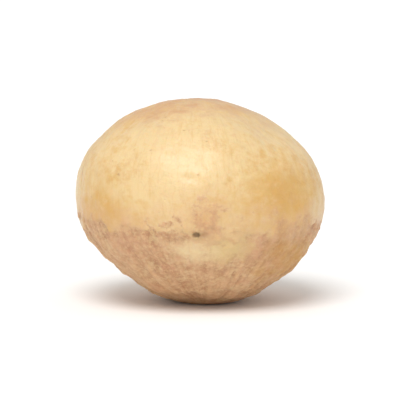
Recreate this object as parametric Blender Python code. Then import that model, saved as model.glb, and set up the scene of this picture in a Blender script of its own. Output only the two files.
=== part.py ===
"""One whole roasted macadamia kernel, out of its shell, resting on its small flat spot.

The kernel is a single closed solid, about as wide as it is deep and a little lower than that.
A broad dome with a low tip sits on a shorter cap, which tapers down to the flat spot. The skin
is pressed into soft flats where the kernel grew against its shell, and it has a small dimple
at the front, on the rim where dome and cap meet.

Metres, +Z up, front towards -Y. The origin is under the middle of the kernel, on the surface
that the flat spot rests on.
"""

import bmesh
import bpy
from mathutils import Vector, noise

MM = 0.001

# The kernel's outer size.
WIDTH = 20.0 * MM
DEPTH = 19.2 * MM
HEIGHT = 16.4 * MM

# The skin is shaped on a ball of radius 1, then brought to size.
BALL_SUBDIVISIONS = 5

# Slow swellings of the skin: height, waves to the radius, and where the noise is read.
SWELLINGS = (
    (0.016, 1.1, Vector((3.1, 7.4, 1.9))),
    (0.007, 2.3, Vector((8.2, 0.6, 5.5))),
)

# The lower half tapers, from just under the widest part to the bottom of the ball.
TAPER_START = -0.08
TAPER = 0.085

# The kernel leans to its left: sideways shift for each unit of height.
LEAN = 0.045

# Flats pressed by the shell: the way each one faces, and how far out it lies.
FLATS = (
    ((-0.40, -0.30, 0.87), 0.970),
    ((0.60, -0.20, 0.78), 0.875),
    ((-0.90, -0.40, 0.20), 0.975),
    ((0.78, -0.60, 0.18), 0.960),
    ((0.50, 0.75, 0.45), 0.930),
    ((-0.55, 0.78, 0.30), 0.940),
    ((-0.74, -0.25, -0.66), 0.865),
    ((0.66, -0.30, -0.72), 0.985),
    ((0.05, -0.80, -0.62), 0.930),
    ((0.62, 0.65, -0.48), 0.905),
    ((-0.50, 0.72, -0.55), 0.900),
)
FLAT_SOFTNESS = 0.15

# The low tip on top, where the shoot would have grown out.
TIP_FACING = (-0.05, 0.06, 1.00)
TIP_RADIUS = 0.50
TIP_HEIGHT = 0.008

# The small dimple at the front, on the rim where dome and cap meet.
DIMPLE_FACING = (-0.02, -0.98, -0.18)
DIMPLE_RADIUS = 0.14
DIMPLE_DEPTH = 0.018

# The bottom is first eased towards level, then the flat spot is taken off it.
SPOT_EASING = 0.045
SPOT_CUT = 0.009

KERNEL_COLOR = (0.84, 0.62, 0.34, 1.0)
KERNEL_ROUGHNESS = 0.5


def clear_scene():
    for obj in list(bpy.data.objects):
        bpy.data.objects.remove(obj)


def ease(share):
    """0 to 1, level at both ends."""
    share = min(max(share, 0.0), 1.0)
    return share * share * (3.0 - 2.0 * share)


def swell(ball):
    for vert in ball.verts:
        facing = vert.co.normalized()
        for height, waves, start in SWELLINGS:
            vert.co += facing * height * noise.noise(facing * waves + start)


def taper(ball):
    """Draws the lower half in towards the vertical axis, more the lower it is."""
    for vert in ball.verts:
        inward = 1.0 - TAPER * ease((TAPER_START - vert.co.z) / (1.0 + TAPER_START))
        vert.co.x *= inward
        vert.co.y *= inward


def lean(ball):
    for vert in ball.verts:
        vert.co.x -= LEAN * vert.co.z


def press_flat(ball, facing, distance, softness):
    """Presses in what stands out past a plane; softness eases the flat's edge."""
    facing = Vector(facing).normalized()
    for vert in ball.verts:
        over = vert.co.dot(facing) - distance
        if over > 0.0:
            vert.co -= facing * over * over / (over + softness)


def raise_skin(ball, facing, radius, height):
    """Raises a low round bump on the skin, or sinks a dimple if the height is negative."""
    facing = Vector(facing).normalized()
    for vert in ball.verts:
        away = (vert.co.normalized() - facing).length
        vert.co += facing * height * ease(1.0 - away / radius)


def level_spot(ball):
    """Eases the bottom towards level, then makes the flat spot."""
    for depth, softness in ((SPOT_EASING, SPOT_EASING), (SPOT_CUT, 0.0)):
        bottom = min(vert.co.z for vert in ball.verts)
        press_flat(ball, (0.0, 0.0, -1.0), -bottom - depth, softness)


def bring_to_size(ball):
    """Scales the skin to the outer size, and sets its box's bottom centre on the origin."""
    low = Vector(min(vert.co[axis] for vert in ball.verts) for axis in range(3))
    high = Vector(max(vert.co[axis] for vert in ball.verts) for axis in range(3))
    spans = high - low
    scale = Vector((WIDTH / spans.x, DEPTH / spans.y, HEIGHT / spans.z))
    middle = (low + high) / 2.0
    bmesh.ops.translate(ball, verts=ball.verts, vec=(-middle.x, -middle.y, -low.z))
    bmesh.ops.scale(ball, verts=ball.verts, vec=scale)


def kernel_mesh():
    ball = bmesh.new()
    bmesh.ops.create_icosphere(ball, subdivisions=BALL_SUBDIVISIONS, radius=1.0)
    swell(ball)
    taper(ball)
    lean(ball)
    for facing, distance in FLATS:
        press_flat(ball, facing, distance, FLAT_SOFTNESS)
    raise_skin(ball, TIP_FACING, TIP_RADIUS, TIP_HEIGHT)
    raise_skin(ball, DIMPLE_FACING, DIMPLE_RADIUS, -DIMPLE_DEPTH)
    level_spot(ball)
    bring_to_size(ball)
    mesh = bpy.data.meshes.new("kernel")
    ball.to_mesh(mesh)
    ball.free()
    mesh.shade_smooth()
    return mesh


def kernel_material():
    material = bpy.data.materials.new("roasted_kernel")
    material.use_nodes = True
    shader = material.node_tree.nodes["Principled BSDF"]
    shader.inputs["Base Color"].default_value = KERNEL_COLOR
    shader.inputs["Roughness"].default_value = KERNEL_ROUGHNESS
    shader.inputs["Metallic"].default_value = 0.0
    return material


def main():
    clear_scene()
    kernel = bpy.data.objects.new("kernel", kernel_mesh())
    kernel.data.materials.append(kernel_material())
    bpy.context.scene.collection.objects.link(kernel)


main()
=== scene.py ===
"""The looks of one whole roasted macadamia kernel, out of its shell.

The kernel is one skin, sculpted over the frame's solid. Its dome is smooth, golden cream and a
little oily, paler cream where the highlight falls, which is a painted highlight, and peach around
the low tip, partly a toasted tint and partly painted shade. Its cap, below a ragged rim, is tan,
matte and finely ridged towards its own pole, with painted shade in its grooves and darker towards
its pole, partly a browner tint and partly painted shade. A hairline seam between the two seed
halves runs over the tip and down both sides. A small dull pit sits on the rim at the front, its
brown partly painted shade in its hollow, and the dome has pores, faint streaks and a few freckles.
"""

import math
import random

import bmesh
import bpy
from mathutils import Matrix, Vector, noise


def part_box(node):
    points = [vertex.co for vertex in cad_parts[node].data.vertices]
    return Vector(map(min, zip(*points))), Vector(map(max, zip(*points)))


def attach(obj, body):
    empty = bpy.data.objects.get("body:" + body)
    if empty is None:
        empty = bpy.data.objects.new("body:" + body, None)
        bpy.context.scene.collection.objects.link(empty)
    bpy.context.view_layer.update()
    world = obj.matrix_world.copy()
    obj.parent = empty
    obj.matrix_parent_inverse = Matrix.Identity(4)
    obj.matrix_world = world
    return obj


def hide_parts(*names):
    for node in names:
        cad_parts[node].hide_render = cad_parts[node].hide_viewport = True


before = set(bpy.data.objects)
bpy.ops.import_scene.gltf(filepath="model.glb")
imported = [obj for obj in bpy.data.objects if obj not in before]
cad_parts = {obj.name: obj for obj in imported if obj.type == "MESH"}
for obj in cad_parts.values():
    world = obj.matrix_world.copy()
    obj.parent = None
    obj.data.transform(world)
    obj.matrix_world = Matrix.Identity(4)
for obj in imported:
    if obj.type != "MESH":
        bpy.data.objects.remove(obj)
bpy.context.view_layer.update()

MM = 0.001
WHITE = (1.0, 1.0, 1.0, 1.0)

# ---------------------------------------------------------------- the kernel's own directions
# A place on the skin is given by the way to it from the kernel's middle, on a ball of radius 1.

KERNEL_LOW, KERNEL_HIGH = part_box("kernel")
MIDDLE = (KERNEL_LOW + KERNEL_HIGH) / 2
HALF = (KERNEL_HIGH - KERNEL_LOW) / 2
RADIUS_MM = sum(HALF) / 3 / MM

# The tip points up and a little back, so that the cap, opposite it, shows more at the front.
TIP_TILT = math.radians(12)
TO_TIP = Vector((-0.04, math.sin(TIP_TILT), math.cos(TIP_TILT))).normalized()

# The rim between dome and cap: how far it lies towards the tip, on the ball.
RIM_RISE = -0.30
RIM_HEIGHT = math.asin(RIM_RISE)

# The seam's plane goes through the tip and both sides.
SEAM_SIDE = Vector((0.30, -1.0, 0.0))
SEAM_NORMAL = (SEAM_SIDE - TO_TIP * SEAM_SIDE.dot(TO_TIP)).normalized()

PIT_FACING = Vector((-0.03, -0.98, -0.18)).normalized()
CREASE_FACING = PIT_FACING + Vector((0.03, 0.02, 0.19))

# How fast the dome's streaks and the cap's ridges change on their way from tip to rim, as a share
# of how fast they change around it: the smaller, the longer they are.
STREAK_DRIFT = 0.25

# ---------------------------------------------------------------- the skin's relief
# Layers of noise: height in millimetres, waves to the radius, and where the noise is read.

NO_SHIFT = Vector((0.0, 0.0, 0.0))
RIM_WANDERS = (
    (1.80, 1.4, Vector((4.0, 1.5, 8.0))),
    (1.30, 4.0, Vector((1.0, 6.5, 2.0))),
    (0.90, 10.0, Vector((6.0, 0.5, 7.0))),
    (0.40, 22.0, Vector((2.0, 2.5, 3.0))),
)
SEAM_WANDERS = ((0.18, 2.6, NO_SHIFT), (0.05, 9.0, NO_SHIFT))
DENTS = ((0.14, 2.7, Vector((5.0, 2.0, 9.0))), (0.045, 6.5, Vector((2.0, 8.0, 3.0))))
DOME_STREAKS = ((0.026, 9.0, NO_SHIFT), (0.014, 22.0, NO_SHIFT))
DOME_DIMPLES = ((0.030, 15.0, NO_SHIFT), (0.016, 31.0, NO_SHIFT))
CAP_RIDGES = ((0.070, 8.5, Vector((0.0, 3.0, 0.0))), (0.040, 19.0, NO_SHIFT))
CAP_LUMPS = ((0.110, 10.0, Vector((7.0, 7.0, 1.0))), (0.050, 30.0, NO_SHIFT))

# A ridge falls away from its crest at this slope. The cap's grain is then sunk, so that the cap
# lies about level with the dome.
RIDGE_SLOPE = 2.2
CAP_SUNK_MM = 0.100

# How wide the rim is in the relief, and the lip in which the dome's skin ends just above it.
RIM_WIDTH_MM = 0.45
LIP_HEIGHT_MM = 0.045
LIP_WIDTH_MM = 0.35

SEAM_DEPTH_MM = 0.045
SEAM_WIDTH_MM = 0.20

# The nub on the tip, and the shallow ring around it.
NUB_HEIGHT_MM = 0.06
NUB_RADIUS_MM = 0.50
RING_DEPTH_MM = 0.050
RING_RADIUS_MM = 1.10
RING_WIDTH_MM = 0.45

# The pit at the front, its raised edge, and the crease that leads down to it. The crease's
# width is on the ball.
PIT_DEPTH_MM = 0.17
PIT_RADIUS_MM = 0.36
PIT_EDGE_HEIGHT_MM = 0.030
PIT_EDGE_RADIUS_MM = 0.75
PIT_EDGE_WIDTH_MM = 0.30
CREASE_DEPTH_MM = 0.060
CREASE_LENGTH_MM = 1.4
CREASE_WIDTH = 0.022

PORE_COUNT = 120
PORE_SEED = 11
PORE_RADII_MM = (0.28, 0.60)
PORE_DEPTHS_MM = (0.015, 0.050)

# The skin keeps to the solid where it rests, and has its full relief this far up.
REST_MM = 0.02
FULL_RELIEF_MM = 0.6

SKIN_SUBDIVISIONS = 2


def ease(share):
    """0 to 1, level at both ends."""
    share = min(max(share, 0.0), 1.0)
    return share * share * (3.0 - 2.0 * share)


def bell(distance, width):
    return math.exp(-((distance / width) ** 2))


def layered(way, layers):
    return sum(height * noise.noise(way * waves + start) for height, waves, start in layers)


def ridged(way, layers):
    """Layers of noise with a sharp crest wherever the noise passes zero."""
    return sum(
        height * (1.0 - abs(noise.noise(way * waves + start)) * RIDGE_SLOPE)
        for height, waves, start in layers
    )


def scatter_pores():
    """Small pores, thickest around the tip: the way to each, its radius and its depth."""
    chance = random.Random(PORE_SEED)
    pores = []
    while len(pores) < PORE_COUNT:
        way = Vector(chance.gauss(0.0, 1.0) for _ in range(3)).normalized()
        rise = way.dot(TO_TIP)
        if rise > RIM_RISE + 0.1 and chance.random() < 0.35 + 0.65 * rise * rise:
            pores.append((way, chance.uniform(*PORE_RADII_MM), chance.uniform(*PORE_DEPTHS_MM)))
    return pores


class Place:
    """One place on the skin, and what the sculpting and the finish need to know of it."""

    def __init__(self, point):
        offset = point - MIDDLE
        self.way = Vector(offset[axis] / HALF[axis] for axis in range(3)).normalized()
        self.rise = self.way.dot(TO_TIP)
        self.around = (self.way - TO_TIP * self.rise).normalized()
        self.streak_place = self.around + TO_TIP * self.rise * STREAK_DRIFT
        self.above_floor_mm = (point.z - KERNEL_LOW.z) / MM
        above_rim = math.asin(max(-1.0, min(1.0, self.rise))) - RIM_HEIGHT
        self.rim_mm = above_rim * RADIUS_MM - layered(self.way, RIM_WANDERS)
        self.cap = 1.0 - ease(self.rim_mm / RIM_WIDTH_MM + 0.5)
        self.seam_mm = self.way.dot(SEAM_NORMAL) * RADIUS_MM + layered(self.way, SEAM_WANDERS)

    def away_mm(self, facing):
        return (self.way - facing).length * RADIUS_MM


def dome_grain(place):
    """The dome's faint streaks, running from tip to rim, and its finest dimples."""
    return layered(place.streak_place, DOME_STREAKS) + layered(place.way, DOME_DIMPLES)


def cap_grain(place):
    """The cap's ridges, which run together at its pole, and its lumps."""
    ridges = ridged(place.streak_place, CAP_RIDGES)
    return ridges + layered(place.way, CAP_LUMPS) - CAP_SUNK_MM


def rim_lip(place):
    """The dome's skin ends in a thin broken lip just above the cap."""
    broken = ease(0.3 + 1.6 * noise.noise(place.around * 3.0 + Vector((9.0, 0.0, 4.0))))
    return LIP_HEIGHT_MM * broken * bell(place.rim_mm - LIP_WIDTH_MM, LIP_WIDTH_MM)


def seam_groove(place):
    """Broken down the sides, whole around the tip, and fainter on the cap."""
    strength = ease(0.50 + 1.1 * noise.noise(place.way * 2.0 + Vector((1.0, 9.0, 5.0))))
    strength = max(strength, ease((place.rise - 0.80) / 0.12))
    fade = 1.0 - 0.6 * place.cap
    return -SEAM_DEPTH_MM * strength * fade * bell(place.seam_mm, SEAM_WIDTH_MM)


def tip_nub(place):
    """A low nub in a shallow ring, where the shoot would have grown out."""
    away = place.away_mm(TO_TIP)
    ring = RING_DEPTH_MM * bell(away - RING_RADIUS_MM, RING_WIDTH_MM)
    return NUB_HEIGHT_MM * bell(away, NUB_RADIUS_MM) - ring


def front_pit(place):
    away = place.away_mm(PIT_FACING) * (1.0 + 0.5 * noise.noise(place.way * 12.0))
    crease = bell(place.away_mm(CREASE_FACING), CREASE_LENGTH_MM)
    crease *= bell(place.way.x - PIT_FACING.x, CREASE_WIDTH)
    edge = PIT_EDGE_HEIGHT_MM * bell(away - PIT_EDGE_RADIUS_MM, PIT_EDGE_WIDTH_MM)
    return edge - PIT_DEPTH_MM * bell(away, PIT_RADIUS_MM) - CREASE_DEPTH_MM * crease


def pore_depth(place, pores):
    """Each pore is a small bell-shaped hollow, level past twice its radius."""
    depth = 0.0
    for facing, radius_mm, depth_mm in pores:
        away = place.away_mm(facing)
        if away < radius_mm * 2.0:
            depth -= depth_mm * bell(away, radius_mm * 0.6)
    return depth


def skin_relief(place, pores):
    """The skin's own relief, in millimetres."""
    relief = dome_grain(place) * (1.0 - place.cap) + cap_grain(place) * place.cap
    return relief + seam_groove(place) + front_pit(place) + pore_depth(place, pores)


def smooth_copy(node):
    """The frame's solid, its loose triangles merged and rounded off by subdivision."""
    skin = bmesh.new()
    skin.from_mesh(node.data)
    bmesh.ops.remove_doubles(skin, verts=skin.verts, dist=MM / 1000)
    mesh = bpy.data.meshes.new("kernel_solid")
    skin.to_mesh(mesh)
    skin.free()
    solid = bpy.data.objects.new("kernel_solid", mesh)
    bpy.context.scene.collection.objects.link(solid)
    rounding = solid.modifiers.new("rounding", "SUBSURF")
    rounding.levels = rounding.render_levels = SKIN_SUBDIVISIONS
    depsgraph = bpy.context.evaluated_depsgraph_get()
    smooth = bpy.data.meshes.new_from_object(solid.evaluated_get(depsgraph))
    bpy.data.objects.remove(solid)
    return smooth


def make_kernel():
    """Sculpts the skin, and leaves on it the distances that its finish is drawn from."""
    mesh = smooth_copy(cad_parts["kernel"])
    mesh.name = "macadamia_kernel"
    mesh.materials.clear()
    pores = scatter_pores()
    points = []
    marks = {"rim_mm": [], "seam_mm": [], "relief_mm": []}
    for vert in mesh.vertices:
        place = Place(vert.co)
        relief = skin_relief(place, pores)
        height = relief + layered(place.way, DENTS) + rim_lip(place) + tip_nub(place)
        resting = ease((place.above_floor_mm - REST_MM) / FULL_RELIEF_MM)
        points.append(vert.co + vert.normal * height * resting * MM)
        marks["rim_mm"].append(place.rim_mm)
        marks["seam_mm"].append(place.seam_mm)
        marks["relief_mm"].append(relief)
    for vert, point in zip(mesh.vertices, points):
        vert.co = point
    for name, values in marks.items():
        mesh.attributes.new(name, "FLOAT", "POINT").data.foreach_set("value", values)
    mesh.shade_smooth()
    kernel = bpy.data.objects.new("macadamia_kernel", mesh)
    bpy.context.scene.collection.objects.link(kernel)
    return kernel


# ---------------------------------------------------------------- shader maths

# The sockets of a Mix node that mixes colours.
MIX_SHARE, MIX_FIRST, MIX_SECOND, MIXED_COLOR = 0, 6, 7, 2


class Wire:
    """An output socket that Python's operators work on; each one adds its Math node."""

    def __init__(self, finish, socket):
        self.finish = finish
        self.socket = socket

    def math(self, operation, *values):
        numbered = dict(enumerate(values))
        return self.finish.add("ShaderNodeMath", {"operation": operation}, numbered)

    def __add__(self, other):
        return self.math("ADD", self, other)

    def __radd__(self, other):
        return self.math("ADD", other, self)

    def __sub__(self, other):
        return self.math("SUBTRACT", self, other)

    def __rsub__(self, other):
        return self.math("SUBTRACT", other, self)

    def __mul__(self, other):
        return self.math("MULTIPLY", self, other)

    def __rmul__(self, other):
        return self.math("MULTIPLY", other, self)

    def __neg__(self):
        return self.math("MULTIPLY", self, -1.0)

    def __abs__(self):
        return self.math("ABSOLUTE", self)


class Finish:
    """A tree of nodes, and the one way in which nodes are added to it."""

    def __init__(self, owner):
        owner.use_nodes = True
        self.tree = owner.node_tree
        self.tree.nodes.clear()

    def add(self, kind, settings=None, values=None, output=0):
        node = self.tree.nodes.new(kind)
        for name, setting in (settings or {}).items():
            setattr(node, name, setting)
        for name, value in (values or {}).items():
            if isinstance(value, Wire):
                self.tree.links.new(value.socket, node.inputs[name])
            else:
                node.inputs[name].default_value = value
        return Wire(self, node.outputs[output]) if len(node.outputs) else None

    def vector(self, operation, first, second=None, output=0):
        values = {0: first} if second is None else {0: first, 1: second}
        return self.add("ShaderNodeVectorMath", {"operation": operation}, values, output)

    def scaled(self, vector, factor):
        values = {0: vector, "Scale": factor}
        return self.add("ShaderNodeVectorMath", {"operation": "SCALE"}, values)

    def mark(self, name):
        """A value that the sculpting left on the mesh."""
        return self.add("ShaderNodeAttribute", {"attribute_name": name}, output="Fac")

    def noise(self, place, scale, detail=3.0, roughness=0.5):
        values = {"Vector": place, "Scale": scale, "Detail": detail, "Roughness": roughness}
        return self.add("ShaderNodeTexNoise", {}, values)

    def step(self, value, low, high):
        """0 where the value is at or under low, easing to 1 at high."""
        settings = {"interpolation_type": "SMOOTHSTEP"}
        values = {"Value": value, "From Min": low, "From Max": high}
        return self.add("ShaderNodeMapRange", settings, values)

    def blend(self, share, first, second):
        """One colour turning into another as share goes from 0 to 1."""
        values = {MIX_SHARE: share, MIX_FIRST: first, MIX_SECOND: second}
        return self.add("ShaderNodeMix", {"data_type": "RGBA"}, values, MIXED_COLOR)


def shade(red, green, blue):
    """A colour given as a painter's chart gives it, 0 to 255, as the light it stands for."""
    linear = []
    for channel in (red, green, blue):
        share = channel / 255
        linear.append(share / 12.92 if share <= 0.04045 else ((share + 0.055) / 1.055) ** 2.4)
    return (*linear, 1.0)


# ---------------------------------------------------------------- the kernel's finish

CREAM = shade(226, 198, 146)
GOLD = shade(210, 164, 88)
TOAST = shade(200, 142, 70)
OCHRE = shade(199, 148, 74)
PEACH = shade(202, 153, 106)
TAN = shade(216, 173, 131)
DEEP_TAN = shade(181, 131, 93)
PALE_TAN = shade(229, 200, 153)
STRAW = shade(228, 199, 142)
PALE_CREAM = shade(240, 213, 165)
ROSE = shade(211, 153, 118)
RIM_BROWN = shade(178, 116, 84)
PIT_BROWN = shade(112, 84, 46)
OLIVE = shade(186, 152, 100)
FRECKLE_BROWN = shade(168, 114, 66)

# Where this kernel's colours lie: the way to each patch on the skin.
# The next two places are a painted highlight: paler cream where the key light's highlight falls.
PAINTED_HIGHLIGHT_FACING = Vector((-0.08, -0.78, 0.62)).normalized()
LEFT_PAINTED_HIGHLIGHT_FACING = Vector((-0.52, -0.74, 0.43)).normalized()
LEFT_GOLD_FACING = Vector((-0.83, -0.55, -0.06)).normalized()
RIGHT_GOLD_FACING = Vector((0.60, -0.80, 0.02)).normalized()
TOASTED_EDGE_FACING = Vector((0.70, -0.53, -0.47)).normalized()
TOAST_ABOVE_PIT_FACING = Vector((0.04, -1.0, -0.04)).normalized()
STRAW_SPOT_FACING = Vector((0.23, -0.92, -0.29)).normalized()
PALE_SPOT_FACING = Vector((-0.05, -0.94, -0.35)).normalized()
LEFT_BLUSH_FACING = Vector((-0.56, -0.77, -0.30)).normalized()
RIGHT_BLUSH_FACING = Vector((0.50, -0.80, -0.33)).normalized()

# A patch's edge wanders by these shares of its outer radius.
CLOUDY_RAGGEDNESS = 1.6
MOTTLED_RAGGEDNESS = 1.0

# How far light goes into the skin, and the share of that for red, green and blue.
SKIN_DEPTH = 1.1 * MM
SKIN_GLOW = (1.0, 0.50, 0.22)


class KernelFinish(Finish):
    """The kernel's finish, with the places, noises and masks that its layers share."""

    def __init__(self, owner):
        super().__init__(owner)
        self.find_places()
        self.cloudy = self.noise(self.way, 5.0, 3.0, 0.55)
        self.mottle = self.noise(self.way, 13.0, 4.0, 0.6)
        self.speckle = self.noise(self.way, 34.0, 4.0, 0.7)
        self.hair_streaks = self.noise(self.streak_place, 26.0, 3.0, 0.6)
        self.find_rim()
        self.seam = self.seam_line()
        self.freckles = self.freckle_dots()
        self.pit = self.near(PIT_FACING, 0.14, 0.38)

    def find_places(self):
        """The way to each place, the way around the tip, and the place that streaks are read at."""
        here = self.add("ShaderNodeTexCoord", output="Object")
        offset = self.vector("SUBTRACT", here, MIDDLE)
        self.way = self.vector("NORMALIZE", self.vector("DIVIDE", offset, HALF))
        rise = self.vector("DOT_PRODUCT", self.way, TO_TIP, output="Value")
        along = self.scaled(TO_TIP, rise)
        self.around = self.vector("NORMALIZE", self.vector("SUBTRACT", self.way, along))
        drift = self.scaled(along, STREAK_DRIFT)
        self.streak_place = self.vector("ADD", self.around, drift)

    def near(self, facing, inner_mm, outer_mm, raggedness=1.0):
        """1 within inner_mm of a place on the skin, easing to 0 at about outer_mm."""
        away = self.vector("DISTANCE", self.way, facing, output="Value") * RADIUS_MM
        ragged = (self.cloudy - 0.5) * (CLOUDY_RAGGEDNESS * outer_mm * raggedness)
        ragged = ragged + (self.mottle - 0.5) * (MOTTLED_RAGGEDNESS * outer_mm * raggedness)
        return 1 - self.step(away + ragged, inner_mm, outer_mm)

    def find_rim(self):
        """The cap begins sharply in some stretches, and with a gradual mottling in others."""
        dappled = (self.mottle - 0.5) * 3.4 + (self.speckle - 0.5) * 2.2
        lowered = self.near(TOASTED_EDGE_FACING, 0.5, 4.0) * 1.2
        self.ragged_rim_mm = self.mark("rim_mm") + lowered + dappled
        stretches = self.noise(self.around, 1.9, 2.0)
        softness = 0.45 + 1.3 * self.step(stretches, 0.40, 0.62)
        self.cap = 1 - self.step(self.ragged_rim_mm, -softness, softness)

    def seam_line(self):
        shown = self.step(self.noise(self.way, 3.0, 2.0), 0.40, 0.60)
        return (1 - self.step(abs(self.mark("seam_mm")), 0.03, 0.14)) * shown

    def freckle_dots(self):
        """Small dots of uneven shape."""
        uneven = self.add("ShaderNodeTexNoise", {}, {"Vector": self.way, "Scale": 22.0}, "Color")
        place = self.vector("ADD", self.way, self.scaled(uneven, 0.05))
        away = self.add("ShaderNodeTexVoronoi", {}, {"Vector": place, "Scale": 9.0}, "Distance")
        return 1 - self.step(away, 0.03, 0.15)

    def dome_color(self):
        """Cream to gold in broad clouds, toasted in places, with faint streaks and mottling; paler
        cream where the highlight falls, a painted highlight; and peach towards the tip, partly a
        toasted tint and partly painted shade.
        """
        broad = self.noise(self.way, 1.7, 3.0)
        streaks = self.noise(self.streak_place, 9.0, 3.0, 0.6)
        golden = broad * 0.8 + self.cloudy * 0.35 + streaks * 0.25 + (self.mottle - 0.5) * 0.8
        golden = golden + self.near(LEFT_GOLD_FACING, 0.5, 5.0) * 0.45
        golden = golden + self.near(RIGHT_GOLD_FACING, 0.5, 5.0) * 0.30
        # Less gold in two cream patches where the key light's highlight falls: a painted highlight.
        golden = golden - self.near(PAINTED_HIGHLIGHT_FACING, 1.0, 7.5, 0.5) * 0.30
        golden = golden - self.near(LEFT_PAINTED_HIGHLIGHT_FACING, 0.5, 3.6) * 0.17
        color = self.blend(self.step(golden, 0.48, 1.15), CREAM, GOLD)
        # Peach around the tip, darkening the top: partly a toasted tint, partly painted shade.
        color = self.blend(self.near(TO_TIP, 0.5, 8.5) * 0.95, color, PEACH)
        toasted = self.noise(self.way, 2.1, 5.0, 0.6) + (self.speckle - 0.5) * 0.60
        color = self.blend(self.step(toasted, 0.54, 0.76) * 0.28, color, TOAST)
        veins = 1 - self.step(abs(self.noise(self.streak_place, 15.0, 2.0) - 0.5), 0.0, 0.030)
        color = self.blend(veins * self.mottle * 0.30, color, PEACH)
        color = self.blend(self.step(self.hair_streaks, 0.50, 0.72) * 0.26, color, GOLD)
        color = self.blend(self.step(self.speckle, 0.56, 0.70) * 0.24, color, CREAM)
        return self.blend(self.near(TOAST_ABOVE_PIT_FACING, 0.2, 1.7) * 0.40, color, TOAST)

    def cap_color(self):
        """Tan, with painted shade in its grooves, darker towards its pole (partly a browner tint,
        partly painted shade where it rests), with paler grains and blushes.
        """
        # Darker where the relief is sunk: painted shade in the cap's grooves.
        groove_shade = 1 - self.step(self.mark("relief_mm"), -0.110, 0.020)
        streaks = self.step(self.noise(self.streak_place, 13.0, 4.0, 0.65), 0.40, 0.66)
        color = self.blend(streaks * 0.50 + groove_shade * 0.40, TAN, DEEP_TAN)
        color = self.blend(self.step(self.speckle, 0.46, 0.62) * 0.45, color, PALE_TAN)
        color = self.blend(self.step(self.mottle, 0.50, 0.66) * 0.45, color, PALE_TAN)
        blush = self.near(LEFT_BLUSH_FACING, 0.4, 2.8) + self.near(RIGHT_BLUSH_FACING, 0.4, 2.6)
        blush = blush * 0.7 + self.step(self.cloudy, 0.52, 0.66) * 0.6
        color = self.blend(blush * self.step(self.mottle, 0.36, 0.58) * 0.70, color, ROSE)
        # Darker towards the cap's pole, where it rests on the floor: partly a browner tint, partly
        # painted shade.
        color = self.blend(self.near(-TO_TIP, 0.8, 4.2) * 0.40, color, DEEP_TAN)
        color = self.blend(self.near(STRAW_SPOT_FACING, 0.4, 2.5) * 0.85, color, STRAW)
        return self.blend(self.near(PALE_SPOT_FACING, 0.3, 1.9) * 0.85, color, PALE_CREAM)

    def bare_color(self):
        """Dome and cap, the toasted lower edge, and the broken brown line along the rim."""
        cap_tinge = 1 - self.step(self.ragged_rim_mm, -0.5, 3.0)
        color = self.blend(cap_tinge * 0.45, self.dome_color(), TAN)
        color = self.blend(self.cap, color, self.cap_color())
        edge = self.near(TOASTED_EDGE_FACING, 0.3, 4.4)
        edge = edge * (0.42 + 0.43 * self.step(self.mottle, 0.40, 0.60))
        color = self.blend(edge, color, OCHRE)
        line = 1 - self.step(abs(self.ragged_rim_mm), 0.10, 0.90)
        broken = self.step(self.noise(self.around, 3.2, 3.0), 0.45, 0.65)
        return self.blend(line * broken * 0.22, color, RIM_BROWN)

    def skin_color(self):
        """The seam, the brown dot on the tip, the freckles, and the pit in its dull surround; the
        pit's dark brown is partly its own colour and partly painted shade in its hollow.
        """
        color = self.blend(self.seam * 0.38, self.bare_color(), RIM_BROWN)
        color = self.blend(self.near(TO_TIP, 0.10, 0.60) * 0.50, color, FRECKLE_BROWN)
        freckled = self.step(self.noise(self.way, 2.4, 2.0), 0.46, 0.62)
        color = self.blend(self.freckles * freckled * 0.42, color, FRECKLE_BROWN)
        color = self.blend(self.near(PIT_FACING, 0.3, 1.3) * 0.24, color, OLIVE)
        # The pit's dark brown: partly its own colour, partly painted shade in the hollow.
        return self.blend(self.pit * 0.72, color, PIT_BROWN)

    def fine_relief(self):
        """The relief too fine to sculpt, in millimetres."""
        peel = self.noise(self.way, 40.0, 3.0, 0.60) * 0.045
        rough_grain = self.noise(self.way, 55.0, 5.0, 0.7) * 0.085
        relief = peel + self.hair_streaks * 0.020 + rough_grain * self.cap
        relief = relief - self.seam * 0.04 - self.pit * 0.10 - self.freckles * 0.02
        return self.add("ShaderNodeBump", {}, {"Height": relief, "Distance": MM})

    def put_together(self):
        """The dome's oil lies in patches, and the cap is dry."""
        oil = self.noise(self.way, 3.6, 3.0)
        values = {
            "Base Color": self.skin_color(),
            "Roughness": 0.29 + oil * 0.18 + self.mottle * 0.12 + self.cap * 0.20,
            "Normal": self.fine_relief(),
            "IOR": 1.46,
            "Coat Weight": (0.15 + oil * 0.40) * (1 - self.cap),
            "Coat Roughness": 0.30,
            "Subsurface Weight": 0.25,
            "Subsurface Radius": SKIN_GLOW,
            "Subsurface Scale": SKIN_DEPTH,
        }
        skin = self.add("ShaderNodeBsdfPrincipled", {}, values)
        self.add("ShaderNodeOutputMaterial", {}, {"Surface": skin})


def kernel_skin():
    material = bpy.data.materials.new("kernel_skin")
    KernelFinish(material).put_together()
    return material


# ---------------------------------------------------------------- floor, light and camera

FLOOR_RADIUS = 1.2
FLOOR_WHITE = (0.95, 0.95, 0.95, 1.0)
SKY_LIGHT = 0.68

# The key light comes from high in front and a little to the left.
KEY_FROM = (-0.12, -0.50, 0.86)
KEY_STRENGTH = 1.83
KEY_SPREAD = math.radians(34)
KEY_COLOR = (1.0, 0.99, 0.975)

CAMERA_ELEVATION = math.radians(8)
CAMERA_DISTANCE = 0.34
KERNEL_SHARE_OF_VIEW = 0.62
SENSOR_MM = 36.0


def floor_board():
    material = bpy.data.materials.new("floor")
    finish = Finish(material)
    values = {"Base Color": FLOOR_WHITE, "Roughness": 0.9, "Specular IOR Level": 0.0}
    board = finish.add("ShaderNodeBsdfPrincipled", {}, values)
    finish.add("ShaderNodeOutputMaterial", {}, {"Surface": board})
    return material


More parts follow.
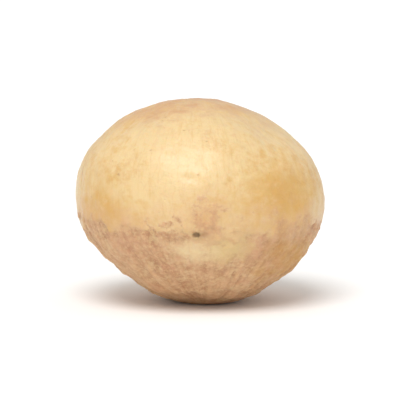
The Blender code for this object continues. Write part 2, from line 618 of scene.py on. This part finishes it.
def make_floor():
    disc = bmesh.new()
    bmesh.ops.create_circle(disc, cap_ends=True, segments=96, radius=FLOOR_RADIUS)
    mesh = bpy.data.meshes.new("floor")
    disc.to_mesh(mesh)
    disc.free()
    mesh.materials.append(floor_board())
    floor = bpy.data.objects.new("floor", mesh)
    bpy.context.scene.collection.objects.link(floor)


def light_sky():
    """Even white light from all round, and a plain white to look at."""
    world = bpy.data.worlds.new("sky")
    bpy.context.scene.world = world
    sky = Finish(world)
    lit = sky.add("ShaderNodeBackground", {}, {"Color": WHITE, "Strength": SKY_LIGHT})
    seen = sky.add("ShaderNodeBackground", {}, {"Color": WHITE, "Strength": 1.0})
    looking = sky.add("ShaderNodeLightPath", output="Is Camera Ray")
    either = sky.add("ShaderNodeMixShader", {}, {0: looking, 1: lit, 2: seen})
    sky.add("ShaderNodeOutputWorld", {}, {"Surface": either})


def point_at(obj, place, target):
    obj.location = place
    obj.rotation_euler = (Vector(target) - Vector(place)).to_track_quat("-Z", "Y").to_euler()


def light_kernel():
    """The key is far off and broad, so that it lights the whole floor alike."""
    lamp = bpy.data.lights.new("key", "SUN")
    lamp.energy = KEY_STRENGTH
    lamp.angle = KEY_SPREAD
    lamp.color = KEY_COLOR
    key = bpy.data.objects.new("key", lamp)
    bpy.context.scene.collection.objects.link(key)
    point_at(key, KEY_FROM, (0.0, 0.0, 0.0))


def add_camera():
    lens = bpy.data.cameras.new("camera")
    view_width = (KERNEL_HIGH.x - KERNEL_LOW.x) / KERNEL_SHARE_OF_VIEW
    lens.sensor_width = SENSOR_MM
    lens.lens = SENSOR_MM * CAMERA_DISTANCE / view_width
    lens.clip_start = 0.01
    lens.clip_end = 5.0
    camera = bpy.data.objects.new("camera", lens)
    bpy.context.scene.collection.objects.link(camera)
    back = Vector((0.0, -math.cos(CAMERA_ELEVATION), math.sin(CAMERA_ELEVATION)))
    point_at(camera, MIDDLE + back * CAMERA_DISTANCE, MIDDLE)
    bpy.context.scene.camera = camera


# ---------------------------------------------------------------- put together

kernel = make_kernel()
kernel.data.materials.append(kernel_skin())
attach(kernel, "root")
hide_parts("kernel")

make_floor()
light_sky()
light_kernel()
add_camera()
bpy.context.scene.view_settings.view_transform = "Standard"

bpy.context.view_layer.update()
